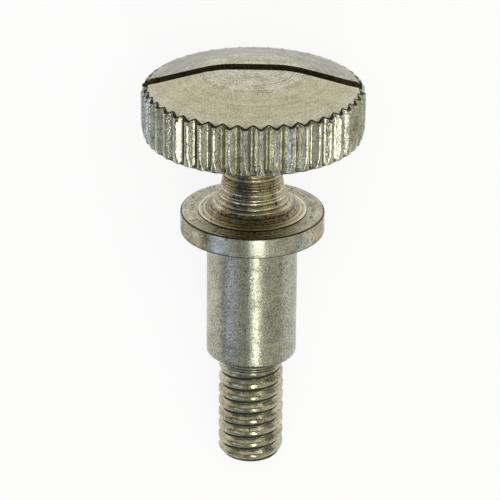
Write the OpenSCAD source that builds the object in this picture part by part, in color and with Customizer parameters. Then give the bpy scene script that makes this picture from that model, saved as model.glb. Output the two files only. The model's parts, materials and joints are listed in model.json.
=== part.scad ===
// Slotted thumb screw with a collar and a plain shoulder, lying on its rim and its tip.
// It is turned from one bar: knurled head, waist, collar, shoulder and threaded end.
// Millimetres, +Z up, floor at z = 0. The origin is on the floor under the middle of the part.
// The turned outline is drawn upright, with z = 0 on the collar's underside and the head above.

/* [Head] */
// Diameter over the tips of the knurl
head_d = 21; // [19:0.1:30]
// Height of the knurled rim
rim_h = 4.6; // [3:0.05:8]
// Rise of the conical crown above the rim
crown_h = 1.85; // [0.6:0.05:3]
// Diameter of the flat in the middle of the crown
crown_flat_d = 6.9; // [3:0.1:12]
// Radial size of the chamfer on the rim's top edge
rim_top_chamfer = 0.2; // [0.05:0.05:0.6]
// Height of the chamfer on the rim's top edge
rim_top_chamfer_h = 0.35; // [0.1:0.05:1]
// Radial size of the chamfer on the rim's bottom edge
rim_bottom_chamfer = 0.25; // [0.05:0.05:0.5]
// Height of the chamfer on the rim's bottom edge
rim_bottom_chamfer_h = 1.2; // [0.2:0.05:1.4]

/* [Knurl] */
// Number of straight teeth, even, so that two tips share the load on the floor
knurl_teeth = 46; // [30:2:70]
// Depth from tip to root
knurl_depth = 0.65; // [0.4:0.05:1.2]
// Width of the flat on each tip
knurl_tip_land = 0.3; // [0.05:0.01:0.35]
// Width of the flat in each root
knurl_root_land = 0.12; // [0.05:0.01:0.2]
// Depth that is left of the grooves at the rim's underside, where the knurl runs out
groove_end_depth = 0.12; // [0.02:0.01:0.35]

/* [Screwdriver slot] */
// Width of the slot
slot_w = 1.5; // [0.8:0.05:2.5]
// Depth of the slot below the crown's flat
slot_depth = 2.4; // [1:0.05:3.5]
// Distance from the screw's axis to the middle of the slot
slot_offset = 0.42; // [0:0.02:1]
// Turn of the slot from the X axis, in degrees
slot_turn = -1; // [-45:1:45]

/* [Waist] */
// Height of the waist between the collar and the head
waist_h = 7.85; // [5:0.05:9.8]
// Diameter of the waist at its narrowest, halfway up
waist_d = 5.65; // [4:0.05:7]
// Radius of the waist's hollow flank
cove_r = 5.5; // [5.4:0.1:12]
// Radius of the fillet between the flank and the foot ring
foot_fillet = 1.2; // [0.5:0.1:2]
// Width of the foot ring's flat outside the fillet
foot_land = 0.2; // [0.1:0.05:1]
// Height of the foot ring above the collar
foot_h = 0.18; // [0.05:0.01:0.4]

/* [Collar] */
// Diameter of the collar
collar_d = 13.65; // [11.4:0.05:17]
// Thickness of the collar
collar_h = 2; // [1:0.1:4]

/* [Shoulder] */
// Diameter of the plain shoulder that the screwed part turns or slides on
shoulder_d = 8.6; // [7:0.1:10.6]
// Length of the plain shoulder
shoulder_l = 12.7; // [6:0.05:25]
// Size of the chamfer that breaks the sharp edges of collar and shoulder
edge_break = 0.12; // [0.05:0.01:0.3]

/* [Thread] */
// Outside diameter of the thread, a quarter inch less its tolerance
thread_d = 6.24; // [4:0.02:8.3]
// Length of the threaded end, chamfer included
thread_l = 11; // [6:0.1:25]
// Radial size of the chamfer on the tip
tip_chamfer = 0.52; // [0.2:0.01:1]
// Height of the chamfer on the tip
tip_chamfer_h = 0.65; // [0.2:0.01:1.2]

/* [Hidden] */

$fn = 96;
cove_steps = 24;
fillet_steps = 8;
cut_margin = 1;
head_overlap = 1;

head_r = head_d / 2;
rim_top_r = head_r - rim_top_chamfer;
collar_r = collar_d / 2;
shoulder_r = shoulder_d / 2;
thread_r = thread_d / 2;
tip_r = thread_r - tip_chamfer;
crown_flat_r = crown_flat_d / 2;

// Heights up the screw's own axis
foot_z = collar_h + foot_h;
rim_z0 = collar_h + waist_h;
heel_z = rim_z0 + rim_bottom_chamfer_h;
rim_z1 = rim_z0 + rim_h;
crown_z = rim_z1 + crown_h;
tip_z = -shoulder_l - thread_l;
toe_z = tip_z + tip_chamfer_h;

// The waist's flank is an arc about a centre outside it, and the fillet lies inside that arc
cove_c = [waist_d / 2 + cove_r, (foot_z + rim_z0) / 2];
fillet_z = foot_z + foot_fillet;
fillet_dz = cove_c[1] - fillet_z;
fillet_dr = sqrt(pow(cove_r - foot_fillet, 2) - pow(fillet_dz, 2));
fillet_c = [cove_c[0] - fillet_dr, fillet_z];
foot_r = fillet_c[0] + foot_land;
join_a = 180 + atan(fillet_dz / fillet_dr);
cove_end_a = 180 - asin((rim_z0 - cove_c[1]) / cove_r);
cove_top_r = cove_c[0] + cove_r * cos(cove_end_a);

// The knurl's teeth are straight-sided, so the angle that half a tooth spans grows evenly inwards
pitch_a = 360 / knurl_teeth;
root_r = head_r - knurl_depth;
tip_a = asin(knurl_tip_land / 2 / head_r);
root_a = asin(knurl_root_land / 2 / root_r);
function half_tooth_a(r) = tip_a + (pitch_a / 2 - root_a - tip_a) * (head_r - r) / knurl_depth;

// The grooves' floor rises along a cone, from their full depth at the foot of the rim's chamfer
groove_end_r = head_r - rim_bottom_chamfer - groove_end_depth;
function groove_floor_r(z) = root_r + (groove_end_r - root_r) * (heel_z - z) / rim_bottom_chamfer_h;

// With a root at the screw's lowest line, the teeth on its two sides reach this far down at radius r
function reach(r) = r * cos(pitch_a / 2 - half_tooth_a(r));

// The screw lies on the thread's end and on those two teeth. They touch the floor at the top or at
// the foot of the rim's bottom chamfer, whichever lifts the head more.
lie_a = max(
    atan((reach(head_r) - thread_r) / (heel_z - toe_z)),
    atan((reach(head_r - rim_bottom_chamfer) - thread_r) / (rim_z0 - toe_z))
);
axis_up = thread_r * cos(lie_a) - toe_z * sin(lie_a);

// Ends of the lying screw along Y: the crown's or the rim's top edge, and the tip's lower edge
back_y = max(
    crown_flat_r * sin(lie_a) + crown_z * cos(lie_a),
    rim_top_r * sin(lie_a) + rim_z1 * cos(lie_a)
);
front_y = tip_z * cos(lie_a) - tip_r * sin(lie_a);

// Points on an arc from angle a0 to a1, as [radius, height]
function arc(centre, r, a0, a1, steps) =
    [for (i = [0:steps]) let (a = a0 + (a1 - a0) * i / steps) centre + r * [cos(a), sin(a)]];

// One tooth: root land, flank, tip land, flank
function tooth(i) =
    let (mid_a = (i + 0.5) * pitch_a + 90)
    [
        for (p = [
            [root_r, root_a - pitch_a / 2],
            [head_r, -tip_a],
            [head_r, tip_a],
            [root_r, pitch_a / 2 - root_a]
        ])
        p[0] * [cos(mid_a + p[1]), sin(mid_a + p[1])]
    ];

// Everything below the head: waist, collar, shoulder and thread, as one turned outline
module stem() {
    rotate_extrude()
    polygon(concat(
        [
            [0, tip_z],
            [tip_r, tip_z],
            [thread_r, toe_z],
            [thread_r, -shoulder_l],
            [shoulder_r - edge_break, -shoulder_l],
            [shoulder_r, -shoulder_l + edge_break],
            [shoulder_r, 0],
            [collar_r - edge_break, 0],
            [collar_r, edge_break],
            [collar_r, collar_h - edge_break],
            [collar_r - edge_break, collar_h],
            [foot_r, collar_h],
            [foot_r, foot_z]
        ],
        arc(fillet_c, foot_fillet, 270, join_a, fillet_steps),
        arc(cove_c, cove_r, join_a, cove_end_a, cove_steps),
        [
            [cove_top_r, rim_z0 + head_overlap],
            [0, rim_z0 + head_overlap]
        ]
    ));
}

// The head as it leaves the lathe, before knurling
module head_blank() {
    rotate_extrude()
    polygon([
        [0, rim_z0],
        [head_r - rim_bottom_chamfer, rim_z0],
        [head_r, heel_z],
        [head_r, rim_z1 - rim_top_chamfer_h],
        [rim_top_r, rim_z1],
        [crown_flat_r, crown_z],
        [0, crown_z]
    ]);
}

// Straight knurl, as a prism that leaves the teeth standing
module knurl() {
    translate([0, 0, rim_z0 - cut_margin])
    linear_extrude(rim_h + crown_h + 2 * cut_margin)
    polygon([for (i = [0:knurl_teeth - 1]) each tooth(i)]);
}

// Cone that the grooves run out on, below the teeth's full depth
module groove_floor() {
    low_z = rim_z0 - cut_margin;
    high_z = heel_z + cut_margin;
    rotate_extrude()
    polygon([
        [0, low_z],
        [groove_floor_r(low_z), low_z],
        [groove_floor_r(high_z), high_z],
        [0, high_z]
    ]);
}

// Saw cut across the crown, a little off the axis
module slot() {
    rotate([0, 0, slot_turn])
    translate([-head_d / 2 - cut_margin, slot_offset - slot_w / 2, crown_z - slot_depth])
    cube([head_d + 2 * cut_margin, slot_w, slot_depth + cut_margin]);
}

module head() {
    difference() {
        intersection() {
            head_blank();
            union() {
                knurl();
                groove_floor();
            }
        }
        slot();
    }
}

module thumb_screw() {
    color([0.72, 0.7, 0.62])
    translate([0, -(back_y + front_y) / 2, axis_up])
    rotate([lie_a - 90, 0, 0])
    union() {
        stem();
        head();
    }
}

thumb_screw();
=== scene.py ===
"""Slotted thumb screw, turned from one bar and nickel plated, lying on a pale studio floor.

The screw is one mesh, drawn upright in its own frame: z = 0 on the collar's underside, the head
above and the thread below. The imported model's mounts then say how it lies. Sizes are in millimetres
up to the point where the mesh is made, and in metres from there on."""
import json
import math

import bpy
import numpy as np
from mathutils import Matrix, Vector, noise


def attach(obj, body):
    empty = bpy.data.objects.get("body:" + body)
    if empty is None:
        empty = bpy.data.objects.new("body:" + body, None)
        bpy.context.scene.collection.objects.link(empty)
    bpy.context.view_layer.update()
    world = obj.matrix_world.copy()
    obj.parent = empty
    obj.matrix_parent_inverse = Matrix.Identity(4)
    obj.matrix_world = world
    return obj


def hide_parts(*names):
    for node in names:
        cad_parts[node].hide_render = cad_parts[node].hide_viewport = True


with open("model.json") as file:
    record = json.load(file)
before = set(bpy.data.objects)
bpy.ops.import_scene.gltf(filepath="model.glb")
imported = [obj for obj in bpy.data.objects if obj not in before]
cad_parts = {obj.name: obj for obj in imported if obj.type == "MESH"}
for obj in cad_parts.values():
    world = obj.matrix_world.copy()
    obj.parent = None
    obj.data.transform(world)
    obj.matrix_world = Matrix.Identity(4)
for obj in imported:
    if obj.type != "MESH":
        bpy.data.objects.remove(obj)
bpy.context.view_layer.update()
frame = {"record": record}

MM = 0.001
SHARP_ANGLE = math.radians(38)  # an edge shows where faces meet at more than this
random_marks = np.random.default_rng(7)

# ---------------------------------------------------------------- sizes of the screw, in millimetres

HEAD_R = 10.5
RIM_H = 4.6
CROWN_H = 1.85
CROWN_FLAT_R = 3.45
CROWN_EASE = 1.5  # half the width over which the flat rounds into the cone
RIM_TOP_CHAMFER, RIM_TOP_CHAMFER_H = 0.2, 0.35
RIM_BOTTOM_CHAMFER, RIM_BOTTOM_CHAMFER_H = 0.25, 1.2

TEETH = 46
KNURL_DEPTH = 0.65
TIP_LAND, ROOT_LAND = 0.06, 0.042  # half widths, as shares of the tooth's pitch
GROOVE_END_DEPTH, GROOVE_END_H = 0.12, 0.3  # where the grooves run out at the rim's underside
KNURL_DRIFT = math.radians(0.9)  # how far the wheel's spacing wanders, twice round the head

SLOT_W, SLOT_DEPTH = 1.5, 2.4
SLOT_OFFSET = 0.42
SLOT_TURN = math.radians(-1)

WAIST_H = 7.85
WAIST_R = 2.825
COVE_R = 5.5
FOOT_FILLET = 1.2
FOOT_LAND, FOOT_H = 0.2, 0.18

COLLAR_R, COLLAR_H = 6.825, 2.0
SHOULDER_R, SHOULDER_L = 4.3, 12.7
SHOULDER_FILLET = 0.06
EDGE = 0.12  # how far the collar's edges are broken

THREAD_R, THREAD_L = 3.12, 11.0
PITCH = 1.27
THREAD_DEPTH = 0.42
TIP_CHAMFER, TIP_CHAMFER_H = 0.53, 0.65
RUNOUT_H = 1.3  # ringed by the threading tool where it left the work, under the shoulder
FIRST_CREST = 1.66  # from the shoulder's end down to the first full crest, on the -X side

# Rows of faces along the thread, as shares of the pitch up from its crest. SHADED_ROWS start the
# faces on the root's floor and on the flank above it, painted dark as shade under each crest, and
# SIDE_ROW those just under that floor, painted so at the sides.
THREAD_ROWS = (-0.47, -0.43, -0.4, -0.36, -0.3, -0.24, -0.2, -0.17, -0.14, -0.05,
               0.05, 0.14, 0.17, 0.2, 0.24, 0.3, 0.36, 0.4, 0.43, 0.47)
SHADED_ROWS = (-0.47, -0.43, -0.4, -0.36, -0.3, 0.47)
SIDE_ROW = 0.43

# Heights on the screw's own axis
RIM_Z0 = COLLAR_H + WAIST_H
RIM_Z1 = RIM_Z0 + RIM_H
CROWN_Z = RIM_Z1 + CROWN_H
SHOULDER_Z = -SHOULDER_L
TIP_Z = SHOULDER_Z - THREAD_L

# ---------------------------------------------------------------- columns round the screw

# Sixteen columns to a tooth, as shares of the pitch from the tooth's tip. Every fourth one carries
# on down the stem, and every fourth of those goes in to the middle of the crown and of the tip.
HALF_TOOTH = (0.06, 0.12, 0.18, 0.25, 0.33, 0.4, 0.46)
TOOTH_COLUMNS = (-0.5, *(-share for share in reversed(HALF_TOOTH)), 0.0, *HALF_TOOTH)
STEM_STEP = 4
CENTRE_STEP = 4

tooth_of = np.repeat(np.arange(TEETH), len(TOOTH_COLUMNS))
share = np.tile(TOOTH_COLUMNS, TEETH)
even_angles = (tooth_of + 0.5 + share) * 2 * math.pi / TEETH + math.pi / 2
HEAD_ANGLES = even_angles - KNURL_DRIFT * np.sin(2 * even_angles)
STEM_ANGLES = HEAD_ANGLES[::STEM_STEP]
CENTRE_ANGLES = STEM_ANGLES[::CENTRE_STEP]


def soft_ramp(x, ease):
    """x where it is above 0, and 0 below, with the corner rounded over the width ease."""
    if abs(x) >= ease:
        return max(x, 0)
    return (x + ease) ** 2 / (4 * ease)


def soft_clamp(value, ease):
    """Clamps a number between 0 and 1, with both corners rounded over the width ease."""
    return soft_ramp(value, ease) - soft_ramp(value - 1, ease)


def patchy(x, y, z, across, along):
    """Smooth noise at a point, with one scale across the screw's axis and another along it."""
    return noise.noise(Vector((across * x, across * y, along * z)))


def knurl_radius():
    """Radius over the knurl at each column: V teeth, each pressed a little unlike the next."""
    tip_spread, root_spread, rounding = 0.018, 0.03, 0.22
    tip_r = HEAD_R - np.abs(random_marks.normal(0, tip_spread, TEETH))
    root_r = HEAD_R - KNURL_DEPTH + random_marks.normal(0, root_spread, TEETH)
    next_root = np.roll(root_r, -1)[tooth_of]
    root = np.where(share < 0, root_r[tooth_of], next_root)
    fall = (np.abs(share) - TIP_LAND) / (0.5 - TIP_LAND - ROOT_LAND)
    rounded = np.array([soft_clamp(f, rounding) for f in fall])
    return tip_r[tooth_of] + (root - tip_r[tooth_of]) * rounded


# ---------------------------------------------------------------- the mesh, ring by ring


class Turning:
    """Vertices and faces of a turned body, laid down ring by ring from the crown to the tip."""

    def __init__(self):
        self.points = []
        self.faces = []
        self.finishes = []

    def add_points(self, angles, r, z):
        """One vertex for each angle. r and z are numbers or one value for each angle."""
        first = len(self.points)
        r = np.broadcast_to(r, angles.shape)
        z = np.broadcast_to(z, angles.shape)
        self.points += list(zip(r * np.cos(angles), r * np.sin(angles), z))
        return list(range(first, len(self.points)))

    def add_face(self, corners, finish):
        self.faces.append(corners)
        self.finishes.append(finish)

    def middle_of(self, number):
        """The middle of a face's corners."""
        return np.mean([self.points[k] for k in self.faces[number]], axis=0)

    def band(self, above, below, finish):
        """Faces between two rings, all facing out. Either ring may have fewer columns."""
        widening = len(above) < len(below)
        if widening:
            above, below = below, above
        step = len(above) // len(below)
        first_face = len(self.faces)
        for j in range(len(below)):
            near, far = below[j], below[(j + 1) % len(below)]
            run = [above[(j * step + k) % len(above)] for k in range(step + 1)]
            if step == 1:
                self.add_face((run[0], near, far, run[1]), finish)
                continue
            middle = step // 2
            for k in range(step):
                self.add_face((run[k], near if k < middle else far, run[k + 1]), finish)
            self.add_face((run[middle], near, far), finish)
        if widening:
            self.faces[first_face:] = [corners[::-1] for corners in self.faces[first_face:]]

    def lathe(self, ring, profile, angles, finish):
        """Carries a ring on through a profile of (radius, height) points. Returns the last ring."""
        for r, z in profile:
            following = self.add_points(angles, r, z)
            self.band(ring, following, finish)
            ring = following
        return ring

    def close(self, ring, z, finish, facing_up):
        """Closes a ring with a fan to a point on the axis."""
        centre = len(self.points)
        self.points.append((0, 0, z))
        for j in range(len(ring)):
            corners = (ring[j], ring[(j + 1) % len(ring)], centre)
            self.add_face(corners if facing_up else corners[::-1], finish)


def arc(centre, radius, start, end, steps):
    """Points on an arc in the (radius, height) plane, angles in degrees."""
    turns = np.radians(np.linspace(start, end, steps + 1))
    return [(centre[0] + radius * math.cos(t), centre[1] + radius * math.sin(t)) for t in turns]


def tool_marks(points, depth):
    """Shifts a profile's points in and out by the depth of the marks that a turning tool leaves."""
    return [(r + random_marks.normal(0, depth), z) for r, z in points]


def with_notches(points, radius_at, notches):
    """Cuts V notches into a falling profile. A notch is (height of its middle, depth, half width)."""
    kept = [p for p in points if all(abs(p[1] - z) > half_w for z, depth, half_w in notches)]
    for z, depth, half_w in notches:
        kept.append((radius_at(z + half_w), z + half_w))
        kept.append((radius_at(z) - depth, z))
        kept.append((radius_at(z - half_w), z - half_w))
    return sorted(kept, key=lambda p: -p[1])


def crown_height(r):
    """Height of the crown at a radius: flat in the middle, then rounding over into a cone."""
    slope = CROWN_H / (HEAD_R - RIM_TOP_CHAMFER - CROWN_FLAT_R)
    return CROWN_Z - slope * soft_ramp(r - CROWN_FLAT_R, CROWN_EASE)


def crown(body):
    """The domed top, with facing marks that the cutter left where the flat rounds over. Its edge is
    a little full, and outside the marks it is painted greyer behind the slot than in front of it, as
    painted shade."""
    middle_r = 0.9
    marks_from, marks_to, mark_step, mark_depth = 1.8, 5.2, 0.12, 0.02
    plain_radii = (5.6, 6.4, 7.3, 8.2, 8.8)
    edge_r, edge_rise = 9.7, 0.05
    ring = body.add_points(CENTRE_ANGLES, middle_r, CROWN_Z)
    body.close(ring, CROWN_Z, "faced_middle", facing_up=True)
    marked = np.arange(marks_from, marks_to, mark_step)
    marks = random_marks.uniform(0, mark_depth, len(marked))
    profile = [(r, crown_height(r) - cut) for r, cut in zip(marked, marks)]
    ring = body.lathe(ring, profile, STEM_ANGLES, "faced_middle")
    ring = body.lathe(ring, [(r, crown_height(r)) for r in plain_radii], STEM_ANGLES, "faced")
    ring = body.lathe(ring, [(edge_r, crown_height(edge_r) + edge_rise)], HEAD_ANGLES, "faced_edge")
    # Behind the slot, outside the marks, the crown gets its greyer copy: painted shade
    for number, finish in enumerate(body.finishes):
        if finish != "faced_middle" and body.middle_of(number)[1] > SLOT_OFFSET:
            body.finishes[number] = "crown_back_shaded"
    return ring


def blank_radius(z):
    """Radius of the head before knurling, with its chamfers."""
    top = np.clip((z - RIM_Z1 + RIM_TOP_CHAMFER_H) / RIM_TOP_CHAMFER_H, 0, 1)
    bottom = np.clip((RIM_Z0 + RIM_BOTTOM_CHAMFER_H - z) / RIM_BOTTOM_CHAMFER_H, 0, 1)
    return HEAD_R - RIM_TOP_CHAMFER * top - RIM_BOTTOM_CHAMFER * bottom


def groove_floor(z):
    """Radius below which no groove reaches. It rises towards the rim's underside, where the knurl
    stops, and is clear of every groove above that."""
    clear_r = HEAD_R - 1.2 * KNURL_DEPTH
    end_r = HEAD_R - RIM_BOTTOM_CHAMFER - GROOVE_END_DEPTH
    return clear_r + (end_r - clear_r) * np.clip((RIM_Z0 + GROOVE_END_H - z) / GROOVE_END_H, 0, 1)


def knurled_rim(body, ring):
    """Straight teeth with broken ends. Their flanks wander a little, as pressed metal does."""
    knurl = knurl_radius()
    # How far each column stands out: 0 in a groove and 1 on a tooth. The crown's edge reaches
    # further out and down over the teeth, so the grooves break into it.
    tipness = np.clip((knurl - HEAD_R + KNURL_DEPTH) / KNURL_DEPTH, 0, 1)
    edge_r, edge_reach = 9.78, 0.17
    edge_rise, edge_drop = 0.24, 0.29
    lip_in, lip_chamfer = 0.02, 0.25
    lip_rise, lip_drop = 0.12, 0.32
    bottom_break = 0.05
    top_rows, middle_from, middle_rows = (0.34, 0.5), 0.7, 16  # measured down from the rim's top
    wander_depth, wander_across, wander_along = 0.012, 1.7, 1.4

    edge_ring = body.add_points(
        HEAD_ANGLES, edge_r + edge_reach * tipness, RIM_Z1 + edge_rise - edge_drop * tipness)
    body.band(ring, edge_ring, "faced_edge")
    lip_r = np.minimum(knurl - lip_in, HEAD_R - lip_chamfer)
    ring = body.add_points(HEAD_ANGLES, lip_r, RIM_Z1 + lip_rise - lip_drop * tipness)
    # The band under the crown's edge is dark with grime and painted shade
    body.band(edge_ring, ring, "grime_and_shade")

    heights = [RIM_Z1 - down for down in top_rows]
    heights += list(np.linspace(RIM_Z1 - middle_from, RIM_Z0 + GROOVE_END_H, middle_rows))
    heights += [RIM_Z0 + GROOVE_END_H / 2, RIM_Z0 + bottom_break]
    places = [(HEAD_R * math.cos(angle), HEAD_R * math.sin(angle)) for angle in HEAD_ANGLES]
    first_face = len(body.faces)
    for z in heights:
        wander = [wander_depth * patchy(x, y, z, wander_across, wander_along) for x, y in places]
        r = np.clip(knurl + wander, groove_floor(z), blank_radius(z))
        ring_below = body.add_points(HEAD_ANGLES, r, z)
        body.band(ring, ring_below, "knurled")
        ring = ring_below
    # Painted shade lies along one side of every groove's floor, in the last column of each tooth
    columns = len(TOOTH_COLUMNS)
    for number in range(first_face + columns - 1, len(body.faces), columns):
        body.finishes[number] = "grime_and_shade"

    outline = np.clip(knurl, groove_floor(RIM_Z0), blank_radius(RIM_Z0)) - bottom_break
    # The teeth's broken lower ends, under the rim, are painted dark as shade, with some grime
    underside = body.add_points(HEAD_ANGLES, outline, RIM_Z0)
    body.band(ring, underside, "grime_and_shade")
    return underside


def glints_and_patch_on_waist(body, first_face, notches):
    """Paints the upper lips of the notches bright, a painted highlight for their glints, and lays one
    ragged dark patch, a little violet, on the waist, a little to the left of its front. The patch is
    lighter round its edge and on the lips."""
    middle_turn, turn_size = -20, 18  # in degrees round from the front
    middle_z, z_size = 5.1, 3.1
    raggedness, across, along = 1.2, 1.6, 5
    on_lips, dark_to, edge_at = 0.6, 0.75, 1.1  # as shares of the patch's size
    for number in range(first_face, len(body.faces)):
        x, y, z = body.middle_of(number)
        from_front = math.degrees(math.atan2(x, -y))
        off = math.hypot((from_front - middle_turn) / turn_size, (z - middle_z) / z_size)
        off += raggedness * patchy(x, y, z, across, along)
        # The notches' upper lips get a painted highlight: a brighter colour for their glints
        if any(0 < z - notch_z < half_w for notch_z, depth, half_w in notches):
            body.finishes[number] = "lip_glint_in_patch" if off < on_lips else "lip_glint"
        elif off < edge_at:
            body.finishes[number] = "dark_patch" if off < dark_to else "patch_edge"


def waist(body, ring):
    """The head's underside, the hollow waist with its tool marks, and the ring that it stands on."""
    underside_edge_r, underside_radii = 9.2, (8.6, 6.5)
    corner_w = 0.3  # between the underside's last ring and the waist
    flank_marks, foot_marks = 0.005, 0.01
    # The foot ring's broken edge: how far each point is in from its wall, and down from its top
    foot_edge = ((0.14, 0), (0.05, 0.01), (0, 0.05))
    # Painted shade in the corner between the foot ring and the collar: its height and width
    corner_shade_h, corner_shade_w = 0.03, 0.04  # in the corner between the foot ring and the collar
    # The deeper turned lines: height of the middle, depth and half width
    notches = ((6.95, 0.03, 0.09), (6.3, 0.05, 0.1), (5.88, 0.06, 0.12), (5.6, 0.05, 0.08),
               (5.32, 0.06, 0.1), (5.05, 0.06, 0.1), (4.55, 0.03, 0.1), (4.12, 0.04, 0.1),
               (3.84, 0.06, 0.15), (3.33, 0.085, 0.15), (3.0, 0.06, 0.1))

    # The hollow is one arc, and a fillet takes it down to the foot ring
    foot_z = COLLAR_H + FOOT_H
    cove = (WAIST_R + COVE_R, (foot_z + RIM_Z0) / 2)
    fillet_rise = cove[1] - foot_z - FOOT_FILLET
    fillet_in = math.sqrt((COVE_R - FOOT_FILLET) ** 2 - fillet_rise**2)
    fillet = (cove[0] - fillet_in, foot_z + FOOT_FILLET)
    join = 180 + math.degrees(math.atan(fillet_rise / fillet_in))
    top = 180 - math.degrees(math.asin((RIM_Z0 - cove[1]) / COVE_R))
    flank = arc(cove, COVE_R, top, join, steps=80)
    foot = arc(fillet, FOOT_FILLET, join, 270, steps=12)[1:]

    def cove_radius(z):
        return cove[0] - math.sqrt(COVE_R**2 - (z - cove[1]) ** 2)

    ring = body.lathe(ring, [(underside_edge_r, RIM_Z0)], HEAD_ANGLES, "waist")
    underside = [(r, RIM_Z0) for r in (*underside_radii, flank[0][0] + corner_w)]
    ring = body.lathe(ring, underside, STEM_ANGLES, "waist")
    flank = with_notches(tool_marks(flank, flank_marks), cove_radius, notches)
    first_face = len(body.faces)
    ring = body.lathe(ring, flank, STEM_ANGLES, "waist")
    glints_and_patch_on_waist(body, first_face, notches)
    ring = body.lathe(ring, tool_marks(foot, foot_marks), STEM_ANGLES, "waist")
    foot_r = fillet[0] + FOOT_LAND
    lip = [(foot_r - inward, foot_z - down) for inward, down in foot_edge]
    wall = [(foot_r, COLLAR_H + corner_shade_h), (foot_r + corner_shade_w, COLLAR_H)]
    # The foot ring's lip gets the same painted highlight
    ring = body.lathe(ring, lip, STEM_ANGLES, "lip_glint")
    # The foot ring's wall is painted dark as shade, in its corner on the collar
    return body.lathe(ring, wall, STEM_ANGLES, "grime_and_shade")


def brown_collar_sides(body, first_face):
    """Browns and darkens the collar's edge round the sides and back, and leaves a band at the front as
    it is.
    """
    clean_middle, clean_half = 2, 43  # in degrees round from the front
    raggedness, across, along = 30, 0.7, 1.2
    for number in range(first_face, len(body.faces)):
        x, y, z = body.middle_of(number)
        off = abs(math.degrees(math.atan2(x, -y)) - clean_middle)
        if off + raggedness * patchy(x, y, z, across, along) > clean_half:
            body.finishes[number] = "browned_sides"


def collar(body, ring):
    """The collar, with one fine turned line near its edge and both edges broken."""
    line_r, line_w, line_depth = 6.2, 0.05, 0.03
    top_r, underside_r = 5.9, 5.5  # the first ring on each flat face
    top_margin, side_margin = 0.03, 0.3
    top = [
        (top_r, COLLAR_H),
        (line_r - line_w, COLLAR_H),
        (line_r, COLLAR_H - line_depth),
        (line_r + line_w, COLLAR_H),
        (COLLAR_R - EDGE - top_margin, COLLAR_H),
    ]
    corner = arc((COLLAR_R - EDGE, COLLAR_H - EDGE), EDGE, 75, 0, steps=4)
    side = [(COLLAR_R, z) for z in np.linspace(COLLAR_H - side_margin, side_margin, 9)]
    lower_corner = arc((COLLAR_R - EDGE, EDGE), EDGE, 0, -90, steps=4)
    underside = [(underside_r, 0), (SHOULDER_R + SHOULDER_FILLET, 0)]
    ring = body.lathe(ring, top, STEM_ANGLES, "collar_top")
    ring = body.lathe(ring, corner, STEM_ANGLES, "worn_edge")
    first_face = len(body.faces)
    ring = body.lathe(ring, side + lower_corner[:1], STEM_ANGLES, "bright")
    brown_collar_sides(body, first_face)
    ring = body.lathe(ring, lower_corner[1:], STEM_ANGLES, "worn_edge")
    return body.lathe(ring, underside, STEM_ANGLES, "ground")


def shoulder(body, ring):
    """The plain shoulder, with a small fillet under the collar and a rounded lower edge painted dark as
    shade.
    """
    side_margin, end_break, inner_r = 0.8, 0.22, 3.5
    side = [(SHOULDER_R, -SHOULDER_FILLET)]
    side += [(SHOULDER_R, z) for z in np.linspace(-side_margin, SHOULDER_Z + side_margin, 10)]
    end = arc((SHOULDER_R - end_break, SHOULDER_Z + end_break), end_break, 0, -90, steps=5)
    ring = body.lathe(ring, side + end[:2], STEM_ANGLES, "ground")
    # The rounded lower edge is painted dark as shade
    ring = body.lathe(ring, end[2:-1], STEM_ANGLES, "grime_and_shade")
    return body.lathe(ring, [end[-1], (inner_r, SHOULDER_Z)], STEM_ANGLES, "ground")


def thread_radius(angle, z):
    """Outer radius at a point of the thread. Under the shoulder the tool was leaving the work, so
    there the groove is shallow, and the crest is low and uneven."""
    half_crest, half_root, rounding = 0.17, 0.04, 0.2
    full_after, first_depth, first_drop = 4.0, 0.16, 0.12
    scar_depth, scar_across, scar_along = 0.08, 1.5, 5
    turn = (z - SHOULDER_Z + FIRST_CREST) / PITCH - (angle - math.pi) / (2 * math.pi)
    from_crest = abs(turn - round(turn))
    cut = soft_clamp((from_crest - half_crest) / (0.5 - half_crest - half_root), rounding)
    grown = min((SHOULDER_Z - z) / full_after, 1)
    grown = grown * grown * (3 - 2 * grown)
    scar = scar_depth * patchy(math.cos(angle), math.sin(angle), z, scar_across, scar_along)
    crest = THREAD_R - (first_drop + scar) * (1 - grown)
    depth = first_depth + (THREAD_DEPTH - first_depth) * grown
    tip = THREAD_R - TIP_CHAMFER + (z - TIP_Z) * TIP_CHAMFER / TIP_CHAMFER_H
    return min(crest - depth * cut, tip)


def row_heights(angle, top, bottom):
    """Heights of the thread's rows in one column, by row number. A row keeps its number from column
    to column, until it comes round to the first one and its number goes up by one turn's rows."""
    turns = math.ceil(THREAD_L / PITCH) + 2
    crest_z = SHOULDER_Z - FIRST_CREST + PITCH * (angle - math.pi) / (2 * math.pi)
    heights = {}
    for turn in range(-turns, turns):
        for j, row in enumerate(THREAD_ROWS):
            z = crest_z + PITCH * (turn + row)
            if bottom < z < top:
                heights[turn * len(THREAD_ROWS) + j] = z
    return heights


def thread_finish(row, angle, z):
    """The finish of a thread's face. Painted shade darkens the root and the flank above it, under each
    crest, and a little more on the left and right, but not on the first turn. Oxide darkens the tip's
    edge."""
    shade_below, oxide_below = SHOULDER_Z - 1.6, TIP_Z + 0.45
    at_side = abs(math.sin(angle)) < 0.7  # about 45 degrees to each side of -X and +X
    # Painted shade on the rows under each crest
    if z < shade_below and (row in SHADED_ROWS or (row == SIDE_ROW and at_side)):
        return "crest_shade"
    return "worn_edge" if z < oxide_below else "threaded"


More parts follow.
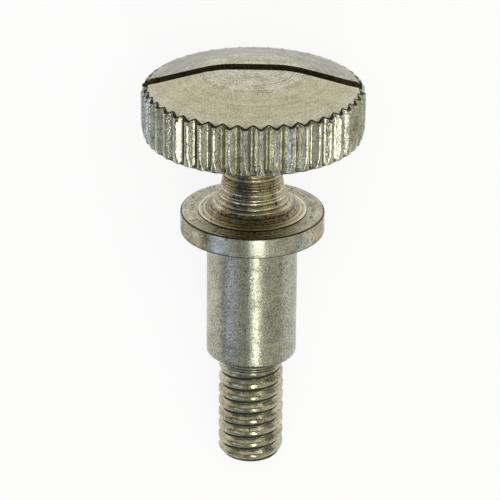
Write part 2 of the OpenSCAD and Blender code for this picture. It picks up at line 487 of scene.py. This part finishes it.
def thread(body, ring):
    """Tool rings under the shoulder, and then a right-hand helix to the tip, whose rows of faces
    follow the thread."""
    rings_r = THREAD_R - 0.1
    # The rings that the tool left: how far each point is down from the shoulder, and how deep
    tool_rings = ((0.02, 0), (0.5, 0), (0.6, 0.08), (0.69, 0), (0.76, 0), (0.86, 0.09),
                  (0.96, 0), (1.03, 0), (1.12, 0.08), (1.2, 0), (1.26, 0))
    tip_radii, tip_centre_r = (1.9, 1.2), 0.6
    clear = 0.012  # no row comes nearer to the helix's first and last rings
    start_z = SHOULDER_Z - RUNOUT_H

    def vertex(angle, z):
        r = thread_radius(angle, z)
        body.points.append((r * math.cos(angle), r * math.sin(angle), z))
        return len(body.points) - 1

    profile = [(rings_r - depth, SHOULDER_Z - down) for down, depth in tool_rings]
    ring = body.lathe(ring, profile, STEM_ANGLES, "bright")
    start = [vertex(angle, start_z) for angle in STEM_ANGLES]
    body.band(ring, start, "bright")
    columns = []
    for angle in STEM_ANGLES:
        heights = row_heights(angle, start_z - clear, TIP_Z + clear)
        columns.append({row: vertex(angle, z) for row, z in heights.items()})
    end = [vertex(angle, TIP_Z) for angle in STEM_ANGLES]

    for j, here in enumerate(columns):
        following = (j + 1) % len(columns)
        there = columns[following]
        if following == 0:
            there = {k - len(THREAD_ROWS): number for k, number in there.items()}
        shared = sorted(set(here) & set(there))
        for low, high in zip(shared, shared[1:]):
            row = THREAD_ROWS[low % len(THREAD_ROWS)]
            finish = thread_finish(row, STEM_ANGLES[j], body.points[here[low]][2])
            body.add_face((here[high], here[low], there[low], there[high]), finish)
        # One face reaches on from the shared rows to each end, through the rows that end on the way
        up_here = [here[k] for k in sorted(here) if k >= shared[-1]]
        up_there = [there[k] for k in sorted(there) if k >= shared[-1]]
        down_here = [here[k] for k in sorted(here, reverse=True) if k <= shared[0]]
        down_there = [there[k] for k in sorted(there, reverse=True) if k <= shared[0]]
        body.add_face((*up_there, start[following], start[j], *reversed(up_here)), "threaded")
        body.add_face((*down_here, end[j], end[following], *reversed(down_there)), "threaded")

    ring = body.lathe(end, [(r, TIP_Z) for r in tip_radii], STEM_ANGLES, "threaded")
    ring = body.lathe(ring, [(tip_centre_r, TIP_Z)], CENTRE_ANGLES, "threaded")
    body.close(ring, TIP_Z, "threaded", facing_up=False)


def slot_cutter(finishes):
    """The block of metal that the saw takes out across the crown."""
    clear = 2  # past the head at both ends, and half as much above it
    half_l, half_w = HEAD_R + clear, SLOT_W / 2
    floor, top = CROWN_Z - SLOT_DEPTH, CROWN_Z + clear / 2
    corners = [
        (x, SLOT_OFFSET + y, z)
        for z in (floor, top)
        for x, y in ((-half_l, -half_w), (half_l, -half_w), (half_l, half_w), (-half_l, half_w))
    ]
    faces = [(3, 2, 1, 0), (4, 5, 6, 7), (0, 1, 5, 4), (1, 2, 6, 5), (2, 3, 7, 6), (3, 0, 4, 7)]
    mesh = bpy.data.meshes.new("slot_cutter")
    mesh.from_pydata([Vector(c) * MM for c in corners], [], faces)
    mesh.transform(Matrix.Rotation(SLOT_TURN, 4, "Z"))
    mesh.materials.append(finishes["sawn"])
    cutter = bpy.data.objects.new("slot_cutter", mesh)
    bpy.context.collection.objects.link(cutter)
    return cutter


def lying_pose():
    """Where the screw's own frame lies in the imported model: its mounts give its axis and seat."""
    mounts = {m["name"]: m for m in frame["record"]["mounts"]}
    up_axis = -Vector(mounts["shoulder"]["axis"])
    across = Vector((1, 0, 0))
    seat = Vector(mounts["seat"]["pos_m"])
    seat.x = 0
    turn = Matrix((across, up_axis.cross(across), up_axis)).transposed()
    return Matrix.Translation(seat) @ turn.to_4x4()


def make_screw(finishes):
    body = Turning()
    ring = crown(body)
    ring = knurled_rim(body, ring)
    ring = waist(body, ring)
    ring = collar(body, ring)
    ring = shoulder(body, ring)
    thread(body, ring)

    mesh = bpy.data.meshes.new("thumb_screw_body")
    mesh.from_pydata([Vector(p) * MM for p in body.points], [], body.faces)
    order = list(finishes)
    for name in order:
        mesh.materials.append(finishes[name])
    mesh.polygons.foreach_set("material_index", [order.index(f) for f in body.finishes])
    screw = bpy.data.objects.new("thumb_screw_body", mesh)
    bpy.context.collection.objects.link(screw)

    cutter = slot_cutter(finishes)
    cut = screw.modifiers.new("slot", "BOOLEAN")
    cut.operation = "DIFFERENCE"
    cut.solver = "EXACT"
    cut.material_mode = "TRANSFER"
    cut.object = cutter
    bpy.context.view_layer.update()
    slotted = screw.evaluated_get(bpy.context.evaluated_depsgraph_get())
    finished = bpy.data.meshes.new_from_object(slotted)
    screw.modifiers.clear()
    screw.data = finished
    bpy.data.objects.remove(cutter)

    for polygon in finished.polygons:
        polygon.use_smooth = True
    finished.set_sharp_from_angle(angle=SHARP_ANGLE)
    finished.transform(lying_pose())
    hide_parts("thumb_screw")
    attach(screw, "root")


# ---------------------------------------------------------------- materials


def srgb(code):
    """Linear colour from an sRGB hex value."""
    channels = [int(code[i:i + 2], 16) / 255 for i in (1, 3, 5)]
    linear = [c / 12.92 if c <= 0.04045 else ((c + 0.055) / 1.055) ** 2.4 for c in channels]
    return (*linear, 1)


def new_material(name):
    material = bpy.data.materials.new(name)
    material.use_nodes = True
    material.node_tree.nodes.clear()
    return material


def add(material, kind, settings=None, **links):
    """Adds a node. settings fill its properties and sockets, and links join other nodes' outputs
    to its sockets: Base_Color is the socket called Base Color, and _0 is the first one."""
    node = material.node_tree.nodes.new(kind)
    for key, value in (settings or {}).items():
        if isinstance(key, str) and hasattr(node, key):
            setattr(node, key, value)
        else:
            node.inputs[key].default_value = value
    for key, source in links.items():
        socket = node.inputs[int(key[1:])] if key[0] == "_" else node.inputs[key.replace("_", " ")]
        material.node_tree.links.new(source, socket)
    return node


def spread(m, source, low, high, top):
    """Stretches the part of a noise between low and high over 0 to top."""
    return add(m, "ShaderNodeMapRange", {"From Min": low, "From Max": high, "To Max": top},
               Value=source).outputs[0]


def total(m, *sources):
    """Adds up shading layers, and stops at 1."""
    result = sources[0]
    for source in sources[1:]:
        result = add(m, "ShaderNodeMath", {"operation": "ADD", "use_clamp": True},
                     _0=result, _1=source).outputs[0]
    return result


def plated(name, light, dark, rough, stain=0.4, speckle=0.3, grain_mm=0.2, grain_depth_mm=0.02,
           ring_mm=0.3, ring_shade=0.0, ring_depth_mm=0.0, pits=0.0, streaks=False, metallic=1.0):
    """Worn nickel over turned steel. light and dark are the plate's colours where it is clean and
    where it is stained, and rough is its roughness. Rings are the tool's marks round the axis, and
    the grain is the fine frosting of a worn plate. stain, speckle, ring_shade and pits say how far
    the clouds, the grain, the rings and the pits darken it."""
    cloud_mm, pit_mm = 1.6, 0.45
    along_streaks = 0.12  # how fast a streak changes along its length
    # The part of each noise that shows, from faint to full
    cloud_part, fine_part, pit_part = (0.35, 0.7), (0.35, 0.65), (0.66, 0.72)
    smoother, rougher = 0.08, 0.1
    m = new_material(name)
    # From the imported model's frame back to the screw's own
    pose = lying_pose()
    lying = add(m, "ShaderNodeTexCoord").outputs["Object"]
    place = add(m, "ShaderNodeMapping", {"vector_type": "TEXTURE", "Location": pose.translation,
                                         "Rotation": pose.to_euler()}, Vector=lying).outputs[0]
    # Distance from the axis and height along it: any pattern made from these two is turned
    parts = add(m, "ShaderNodeSeparateXYZ", _0=place)
    flat = add(m, "ShaderNodeVectorMath", {"operation": "MULTIPLY", 1: (1, 1, 0)}, _0=place)
    radius = add(m, "ShaderNodeVectorMath", {"operation": "LENGTH"}, _0=flat.outputs[0])
    turned = add(m, "ShaderNodeCombineXYZ", X=radius.outputs["Value"], Z=parts.outputs["Z"])
    drawn = add(m, "ShaderNodeVectorMath", {"operation": "MULTIPLY", 1: (1, 1, along_streaks)},
                _0=place)
    rings = add(m, "ShaderNodeTexNoise",
                {"Scale": 1 / (ring_mm * MM), "Detail": 3.0, "Roughness": 0.7},
                Vector=(drawn if streaks else turned).outputs[0]).outputs["Fac"]
    grain = add(m, "ShaderNodeTexNoise", {"Scale": 1 / (grain_mm * MM), "Detail": 1.5},
                Vector=place).outputs["Fac"]
    cloud = add(m, "ShaderNodeTexNoise",
                {"Scale": 1 / (cloud_mm * MM), "Detail": 4.0, "Roughness": 0.6},
                Vector=place).outputs["Fac"]
    pit_noise = add(m, "ShaderNodeTexNoise", {"Scale": 1 / (pit_mm * MM), "Detail": 1.0},
                    Vector=place).outputs["Fac"]
    shade = total(m, spread(m, cloud, *cloud_part, stain), spread(m, grain, *fine_part, speckle),
                  spread(m, rings, *fine_part, ring_shade), spread(m, pit_noise, *pit_part, pits))
    tint = add(m, "ShaderNodeMix", {"data_type": "RGBA", 6: srgb(light), 7: srgb(dark)}, _0=shade)
    dull = add(m, "ShaderNodeMapRange", {"To Min": rough - smoother, "To Max": rough + rougher},
               Value=cloud)
    ring_bump = add(m, "ShaderNodeBump", {"Strength": 1.0, "Distance": ring_depth_mm * MM},
                    Height=rings)
    grain_bump = add(m, "ShaderNodeBump", {"Strength": 1.0, "Distance": grain_depth_mm * MM},
                     Height=grain, Normal=ring_bump.outputs[0])
    shader = add(m, "ShaderNodeBsdfPrincipled", {"Metallic": metallic}, Base_Color=tint.outputs[2],
                 Roughness=dull.outputs[0], Normal=grain_bump.outputs[0])
    add(m, "ShaderNodeOutputMaterial", Surface=shader.outputs[0])
    return m


def screw_finishes():
    return {
        # Faced crown: dull, warm and evenly speckled, with faint rings
        "faced": plated("faced_nickel_plate", "#ddd8ba", "#a39c80", 0.42, stain=0.2, speckle=0.6,
                        grain_mm=0.15, grain_depth_mm=0.012, ring_mm=0.25, ring_shade=0.3,
                        ring_depth_mm=0.008),
        # The middle of the crown, where the rings are plainest
        "faced_middle": plated("facing_marks_on_plate", "#f4f0dc", "#8d866a", 0.38, stain=0.3,
                               speckle=0.5, grain_mm=0.15, grain_depth_mm=0.02, ring_mm=0.22,
                               ring_shade=0.42, ring_depth_mm=0.03),
        # The outside of the crown, a little brighter
        "faced_edge": plated("brighter_crown_edge_plate", "#e4e0c6", "#a5a08a", 0.42, stain=0.25, speckle=0.6,
                             grain_mm=0.15, grain_depth_mm=0.012, ring_mm=0.25, ring_shade=0.3,
                             ring_depth_mm=0.01),
        # The crown's back half outside the marks: a greyer copy of the faced plate, as painted shade,
        # with plainer facing marks
        "crown_back_shaded": plated("crown_back_greyed_plate", "#d4d2c2", "#8a897c", 0.4, stain=0.3, speckle=0.5,
                             grain_mm=0.15, grain_depth_mm=0.012, ring_mm=0.25, ring_shade=0.4,
                             ring_depth_mm=0.02),
        # Pressed knurl: bright flanks, grey-green in the hollows, rough from the wheel
        "knurled": plated("knurled_nickel_plate", "#dddccb", "#66654f", 0.18, stain=0.3, speckle=0.4,
                          grain_mm=0.12, grain_depth_mm=0.02, ring_mm=0.16, ring_shade=0.25,
                          ring_depth_mm=0.006, pits=0.3, streaks=True),
        # Turned waist: browned plate, with the form tool's rings showing through
        "waist": plated("turned_waist_plate", "#f2e9c4", "#483d22", 0.28, stain=0.2, speckle=0.35,
                        grain_mm=0.15, grain_depth_mm=0.03, ring_mm=0.24, ring_shade=0.7,
                        ring_depth_mm=0.075, pits=0.4),
        # Collar's upper face: the same turning, lighter, with fainter rings and more pits
        "collar_top": plated("turned_collar_plate", "#f6f0d2", "#504830", 0.28, stain=0.2, speckle=0.35,
                             grain_mm=0.15, grain_depth_mm=0.03, ring_mm=0.3, ring_shade=0.55,
                             ring_depth_mm=0.08, pits=0.7),
        # A ragged patch on the waist: dark and a little violet, under the same tool marks
        "dark_patch": plated("dark_patch_on_waist", "#948980", "#38322e", 0.31, stain=0.2,
                            speckle=0.3, grain_mm=0.15, grain_depth_mm=0.03, ring_mm=0.24,
                            ring_shade=0.6, ring_depth_mm=0.07, pits=0.3),
        "patch_edge": plated("patch_edge_on_waist", "#c2b8a0", "#403929", 0.3, stain=0.2,
                                 speckle=0.35, grain_mm=0.15, grain_depth_mm=0.03, ring_mm=0.24,
                                 ring_shade=0.65, ring_depth_mm=0.075, pits=0.2),
        # Lips of the deeper tool marks and of the foot ring, painted brighter as a painted highlight
        # for their glints
        "lip_glint": plated("painted_glint_on_lips", "#f6f1dc", "#a39a7c", 0.3, stain=0.3, speckle=0.4,
                        grain_mm=0.15, grain_depth_mm=0.02),
        "lip_glint_in_patch": plated("glinting_lips_in_patch", "#b3a99a", "#6a6255", 0.3, stain=0.3,
                                  speckle=0.4, grain_mm=0.15, grain_depth_mm=0.02),
        # Collar's edge, and the tool's rings under the shoulder: smoothly turned, worn bright
        "bright": plated("bright_collar_plate", "#d6d7c9", "#7a7b68", 0.29, stain=0.4, speckle=0.5,
                         grain_mm=0.15, grain_depth_mm=0.012, ring_mm=0.3, ring_shade=0.15, pits=0.3),
        # Collar's edge round the sides and back: the same turning, browner and darker
        "browned_sides": plated("browned_collar_sides_plate", "#d2c9a8", "#5a5136", 0.3, stain=0.6, speckle=0.5,
                          grain_mm=0.15, grain_depth_mm=0.012, ring_mm=0.3, ring_shade=0.15, pits=0.3),
        # Shoulder and collar's underside: smoothly turned, sparkling with fine wear
        "ground": plated("worn_shoulder_plate", "#d0d1c1", "#7a7a68", 0.28, stain=0.25,
                         speckle=0.75, grain_mm=0.14, grain_depth_mm=0.02, ring_mm=0.3,
                         ring_shade=0.15, ring_depth_mm=0.006, pits=0.3),
        # Thread: the same plate, more stained
        "threaded": plated("threaded_plate", "#d5d0b6", "#6d6850", 0.23, stain=0.5, speckle=0.3,
                           grain_depth_mm=0.01, ring_mm=0.3, ring_shade=0.2, pits=0.4),
        # Dark oxide along the collar's edges and round the tip
        "worn_edge": plated("oxide_on_edge", "#6a6553", "#2f2c22", 0.45, stain=0.5, speckle=0.5),
        # Grime and painted shade: dark at both ends of the knurl, and painted shade along one side of
        # its grooves, in the corner at the waist's foot and on the shoulder's lower edge
        "grime_and_shade": plated("grime_and_painted_shade_plate", "#4a4638", "#211f17", 0.45, stain=0.5, speckle=0.5),
        # Painted shade under the thread's crests, on the root and the flank above it: dark, and not
        # metal
        "crest_shade": plated("painted_shade_under_crests", "#332f24", "#19170f", 0.6, stain=0.5, speckle=0.5, metallic=0.0),
        # Saw cut: rough and browned, and never cleaned out
        "sawn": plated("sawn_slot_steel", "#948867", "#4a402a", 0.6, stain=0.5, speckle=0.5),
    }


def floor_material():
    """Matt white card. Eye and polished metal see it near white, and it still holds a shadow."""
    glow_share = 0.88
    m = new_material("matt_white_card")
    path = add(m, "ShaderNodeLightPath")
    seen = add(m, "ShaderNodeMath", {"operation": "ADD", "use_clamp": True},
               _0=path.outputs["Is Camera Ray"], _1=path.outputs["Is Glossy Ray"])
    seen = add(m, "ShaderNodeMath", {"operation": "ADD", "use_clamp": True},
               _0=seen.outputs[0], _1=path.outputs["Is Transmission Ray"])
    glowing = add(m, "ShaderNodeMath", {"operation": "MULTIPLY", 1: glow_share}, _0=seen.outputs[0])
    card = add(m, "ShaderNodeBsdfDiffuse", {"Color": srgb("#f4f4f2")})
    glow = add(m, "ShaderNodeEmission", {"Color": srgb("#ffffff"), "Strength": 1.0})
    mix = add(m, "ShaderNodeMixShader", _0=glowing.outputs[0], _1=card.outputs[0],
              _2=glow.outputs[0])
    add(m, "ShaderNodeOutputMaterial", Surface=mix.outputs[0])
    return m


# ---------------------------------------------------------------- floor, lights and camera


def make_floor():
    half = 2.0  # in metres
    corners = [(-half, -half, 0), (half, -half, 0), (half, half, 0), (-half, half, 0)]
    mesh = bpy.data.meshes.new("floor")
    mesh.from_pydata(corners, [], [(0, 1, 2, 3)])
    mesh.materials.append(floor_material())
    floor = bpy.data.objects.new("floor", mesh)
    bpy.context.collection.objects.link(floor)


def softbox(name, target, direction, distance, size, colour, radiance, in_reflections=True):
    """A rectangular lamp that faces the target. radiance is what a mirror would show of it."""
    lamp = bpy.data.lights.new(name, "AREA")
    lamp.shape = "RECTANGLE"
    lamp.size, lamp.size_y = size
    lamp.color = srgb(colour)[:3]
    lamp.energy = radiance * math.pi * size[0] * size[1]
    light = bpy.data.objects.new(name, lamp)
    bpy.context.collection.objects.link(light)
    way = Vector(direction).normalized()
    light.location = target + way * distance
    light.rotation_euler = way.to_track_quat("Z", "Y").to_euler()
    light.visible_glossy = in_reflections


def make_lights():
    target = Vector((0, -0.003, 0.008))  # about the middle of the screw
    softbox("cool_side_lamp", target, (-0.785, -0.43, 0.455), 0.5, (0.09, 0.2), "#c6d3ff", 2.2)
    softbox("warm_key_lamp", target, (0.164, -0.603, 0.781), 0.5, (0.07, 0.24), "#f8fbf0", 7.4)
    softbox("dim_front_panel", target, (-0.494, -0.571, 0.655), 0.6, (0.24, 0.3), "#f2f6f4", 0.36)
    softbox("dim_right_panel", target, (0.75, -0.6, 0.5), 0.6, (0.5, 0.5), "#fbf6e4", 0.4)
    softbox("olive_right_lamp", target, (0.767, -0.026, 0.641), 0.5, (0.12, 0.12), "#f6e6a8", 2.5)
    softbox("high_front_lamp", target, (0.56, 0.4, 0.73), 0.5, (0.05, 0.05), "#fdf8e6", 5)
    softbox("small_rear_lamp", target, (0.32, 0.765, 0.557), 0.5, (0.04, 0.04), "#fffbee", 7)
    softbox("brown_left_panel", target, (-0.6, 0.79, 0.13), 0.6, (0.24, 0.15), "#cfae80", 0.75)
    softbox("rear_panel", target, (-0.05, 0.88, 0.45), 0.6, (0.7, 0.45), "#fffbee", 0.55)
    softbox("floor_wash", target, (0.1, 0.2, 1), 0.8, (0.8, 0.8), "#ffffff", 1.8,
            in_reflections=False)
    world = bpy.data.worlds.new("dim_room")
    world.use_nodes = True
    world.node_tree.nodes["Background"].inputs["Color"].default_value = srgb("#8b8d88")
    world.node_tree.nodes["Background"].inputs["Strength"].default_value = 0.9
    bpy.context.scene.world = world


def make_camera():
    """The camera stands over the lying screw and looks down on it, a little from the head's end."""
    distance, rise, roll = 0.3, math.radians(24.9), math.radians(0.5)
    aim_left, aim_down = 0.23 * MM, 3.84 * MM
    data = bpy.data.cameras.new("camera")
    data.sensor_width = 36
    data.lens = 228.5
    camera = bpy.data.objects.new("camera", data)
    bpy.context.collection.objects.link(camera)
    bpy.context.scene.camera = camera
    view = Matrix.Rotation(math.radians(90) - rise, 4, "X") @ Matrix.Rotation(roll, 4, "Z")
    right, up, back = (Vector(view.col[i][:3]) for i in range(3))
    aim = Vector((0, 0, COLLAR_H * MM)) - right * aim_left - up * aim_down
    view.translation = aim + back * distance
    camera.matrix_world = lying_pose() @ view


scene = bpy.context.scene
scene.view_settings.view_transform = "Standard"
make_screw(screw_finishes())
make_floor()
make_lights()
make_camera()
